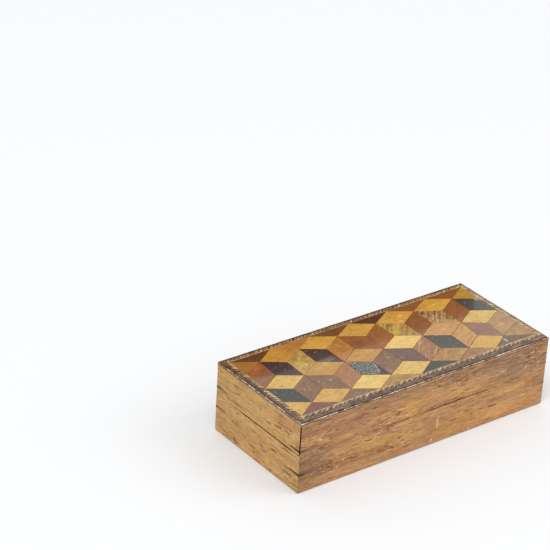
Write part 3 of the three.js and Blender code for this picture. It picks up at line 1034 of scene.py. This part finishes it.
LEFT_MARKS = [
    (INK, 0.85, 50.5, 6.3, 5, 0.4),
    (INK, 0.75, 55.5, 3.2, 4, 0.4),
    (INK, 0.7, 56, 4.9, 3, 0.3),
    (INK, 0.8, 53.5, 8.9, 6, 0.35),
    (INK, 0.75, 26, 6, 3, 0.4),
    (INK, 0.8, 41, 11.7, 3, 0.4),
    (INK, 0.8, 35, 8.3, 3, 0.35),
    (INK, 0.8, 32.5, 10, 1.8, 0.35),
    (INK, 0.8, 43, 24.5, 4, 0.4),
    (INK, 0.75, 50, 24.8, 3, 0.35),
    (INK, 0.75, 36.5, 23, 2.6, 0.35),
    (INK, 0.8, 14, 20.4, 5, 0.35),
    (INK, 0.6, 52, 20, 6, 0.4),
    (INK, 0.7, 27, 13.8, 2.2, 0.35),
    (INK, 0.6, 10.4, 16.5, 1, 0.35),
    (INK, 0.6, 51.4, 26.8, 1.2, 0.5),
    (RUST, 0.6, 33.5, 11.5, 1.8, 0.35),
    (RUST, 0.65, 44, 22, 3, 0.35),
    (RUST, 0.6, 31, 26.5, 0.5, 1.6),
    (RUST, 0.6, 13.5, 24.8, 1.6, 0.4),
    (RUST, 0.7, 39.8, 1.6, 1.6, 0.5),
    ((140, 92, 70), 0.8, 38, 16.2, 4, 0.45),
    ((120, 100, 60), 0.7, 49.5, 16.6, 3, 0.5),
    (CREAM, 0.8, 52.3, 30.2, 0.6, 0.6),
    (CREAM, 0.7, 19, 27.1, 1.5, 0.4),
    (CREAM, 0.5, 16, 22.3, 2, 0.6),
]


# The middle of the grime along the left end's saw cut, in millimetres, and its tone
CUT_GRIME_HEIGHT = 18.2
CUT_GRIME = rgb(78, 34, 6)


def front_extras(look, colour, streaks):
    colour = with_patches(FRONT_PATCHES, FRONT_MARKS, along_front)(look, colour, streaks)
    return foot_wear(look, colour, ORANGE)


def left_extras(look, colour, streaks):
    """Patches, and grime along the saw cut, strong in the middle and thin towards both corners."""
    colour = with_patches(LEFT_PATCHES, LEFT_MARKS, along_left, ALONG_Y)(look, colour, streaks)
    colour = foot_wear(look, colour, (206, 146, 84))
    _, y, z = look.axes()
    stir = look.pattern(2.5, 0.7, 3, 0.6)
    off_cut = look.sums("ABSOLUTE", look.sums("SUBTRACT", z, CUT_GRIME_HEIGHT), 0)
    ragged = look.stirred(off_cut, stir, 0.5)
    share = look.times(look.fade(y, 8, 15, 0.8, 0.2), look.fade(y, -26, -21, 0.3, 1.0))
    grime = look.times(look.fade(ragged, 0.2, 0.55, 1.0, 0.0), share)
    return look.mix(grime, colour, CUT_GRIME)


def plain_extras(look, colour, streaks):
    return foot_wear(look, colour, ORANGE)


def key_wood(name, corner_tone, tip_tone):
    """Slip keys, darkest at the corner of the box and fading towards their tips."""
    look = Shader(name, roughness=0.5, gleam=0.3)
    x, y, _ = look.axes()
    inward_x = look.sums("SUBTRACT", HALF_LENGTH, look.sums("ABSOLUTE", x, 0))
    inward_y = look.sums("SUBTRACT", HALF_WIDTH, look.sums("ABSOLUTE", y, 0))
    stain = look.pattern(4, 0.7, 4, 0.65, stretch=(2, 2, 1))
    away = look.sums("ADD", look.sums("ADD", inward_x, inward_y), look.times(stain, 4))
    colour = look.ramp(look.fade(away, 2, 8), [(0.0, corner_tone), (1.0, tip_tone)])
    fine = look.pattern(6, 3.0, 3, 0.6, stretch=(4, 4, 1))
    colour = darkened(look, colour, 0.35, fine, (0.35, 0.35, 0.35))
    return look.finish(colour, None, fine, 0.03)


def board_paints():
    brown = (rgb(162, 118, 80), rgb(192, 146, 99), rgb(206, 160, 110))
    tan = (rgb(185, 143, 90), rgb(207, 165, 102), rgb(217, 177, 116))
    side = dict(stretch=11, pores=0.8, pore_size=0.8, flecks=1.0, bump=0.025, specks=0.35, fibre=0.45,
                gleam=0.15)
    return {
        "front": wood("front_side_wood", brown, 3.1, ALONG_X, extras=front_extras, busy=FRONT_BUSY, **side),
        "back": wood("back_side_wood", brown, 8.3, ALONG_X, extras=plain_extras, **side),
        "right": wood("right_end_wood", tan, 5.2, ALONG_Y, extras=plain_extras, **side),
        "left": wood("left_end_wood", tan, 6.4, ALONG_Y, extras=left_extras, busy=LEFT_BUSY,
                     **{**side, "fibre": 0.52, "pores": 1.0}),
        "base": wood("base_wood", shades(rgb(138, 106, 76), 0.25), 9.1, ALONG_X, stretch=12, pores=0.5,
                     roughness=0.6, bump=0.06),
        "key": key_wood("key_wood", rgb(56, 40, 32), rgb(122, 90, 60)),
        "faint_key": key_wood("faint_key_wood", rgb(134, 100, 72), rgb(170, 126, 88)),
        "stub_key": key_wood("stub_key_wood", rgb(92, 74, 62), rgb(150, 114, 82)),
        "ground": wood("ground_wood", shades(rgb(186, 140, 90), 0.3), 4.4, ALONG_X, stretch=3, pores=0.9,
                       specks=0.4, dirt=0.45),
    }


def cloth(name):
    look = Shader(name, roughness=0.95, sheen=0.5)
    fine = look.pattern(4, 6.0, 4, 0.7)
    broad = look.pattern(5, 0.06, 3)
    colour = look.ramp(broad, [(0.3, rgb(100, 36, 38)), (0.7, rgb(134, 56, 56))])
    colour = darkened(look, colour, 0.5, fine, (0.4, 0.4, 0.4))
    return look.finish(colour, None, fine, 0.12)


def brass(name):
    look = Shader(name, roughness=0.35, metallic=1.0)
    stain = look.pattern(6, 0.8, 4, 0.6)
    colour = look.ramp(stain, [(0.35, rgb(144, 114, 70)), (0.6, rgb(220, 188, 124))])
    turned = look.pattern(7, 1.2, 2, stretch=(8, 8, 0.5))
    return look.finish(colour, look.fade(stain, 0.3, 0.7, 0.5, 0.25), turned, 0.01)


def build_boards():
    paints = board_paints()
    for node, (body, slot, paint_name, ease) in BOARDS.items():
        worn_board(node, body, slot, paints[paint_name], ease)
    paint("lid_ground", paints["ground"])
    lining, metal = cloth("lining_cloth"), brass("pin_brass")
    for node in NODES:
        if node.startswith("key_"):
            kind = "stub_key" if node == "key_stub_front_left_side" or "back_left" in node else "key"
            paint(node, paints["faint_key" if "front_right" in node else kind])
        if node.startswith("lining_"):
            paint(node, lining)
        if node.startswith("drop_pin"):
            paint(node, metal)


# Studio: a pale floor, a white surround, two large soft lights and a dark card behind

def area_light(name, place, size, power):
    """A soft round light, aimed at the middle of the box."""
    lamp = bpy.data.lights.new(name, "AREA")
    lamp.shape = "DISK"
    lamp.size = size
    lamp.energy = power
    made = bpy.data.objects.new(name, lamp)
    made.location = place
    aim = Vector((0, 0, 0.01))
    made.rotation_euler = (aim - Vector(place)).to_track_quat("-Z", "Y").to_euler()
    bpy.context.scene.collection.objects.link(made)


def stage_sheet(name, points, material):
    mesh = bpy.data.meshes.new(name)
    mesh.from_pydata(points, [], [(0, 1, 2, 3)])
    sheet = new_object(name, mesh, [material])
    return sheet


def build_studio():
    paper = Shader("floor_paper", roughness=0.8, gleam=0.1).finish((0.8, 0.81, 0.822, 1))
    reach = 8.0
    under = cad_low.z - 0.02 * MM
    stage_sheet("floor", [(-reach, -reach, under), (reach, -reach, under), (reach, reach, under),
                          (-reach, reach, under)], paper)
    card = Shader("card_paper", roughness=0.9).finish((*rgb(78, 42, 20), 1))
    # The card's two ends in plan, behind the box
    left, right = (-0.15, 0.067), (0.104, 0.057)
    low, high = cad_low.z, 0.0732
    sheet = stage_sheet("dark_card", [(*left, low), (*right, low), (*right, high), (*left, high)], card)
    sheet.visible_camera = False
    sheet.visible_diffuse = False
    sheet.visible_shadow = False
    world = bpy.data.worlds.new("surround")
    world.use_nodes = True
    surround = world.node_tree.nodes["Background"]
    surround.inputs["Color"].default_value = (1.0, 1.0, 1.0, 1)
    surround.inputs["Strength"].default_value = 0.78
    bpy.context.scene.world = world
    area_light("key_light", (-2.2, -1.5, 4.4), size=3.0, power=114)
    area_light("fill_light", (3.2, -2.8, 3.2), size=4.0, power=60)
    bpy.context.scene.view_settings.view_transform = "Standard"


place_camera()
build_parquetry()
build_border(border_paints())
build_boards()
build_studio()

bpy.context.view_layer.update()
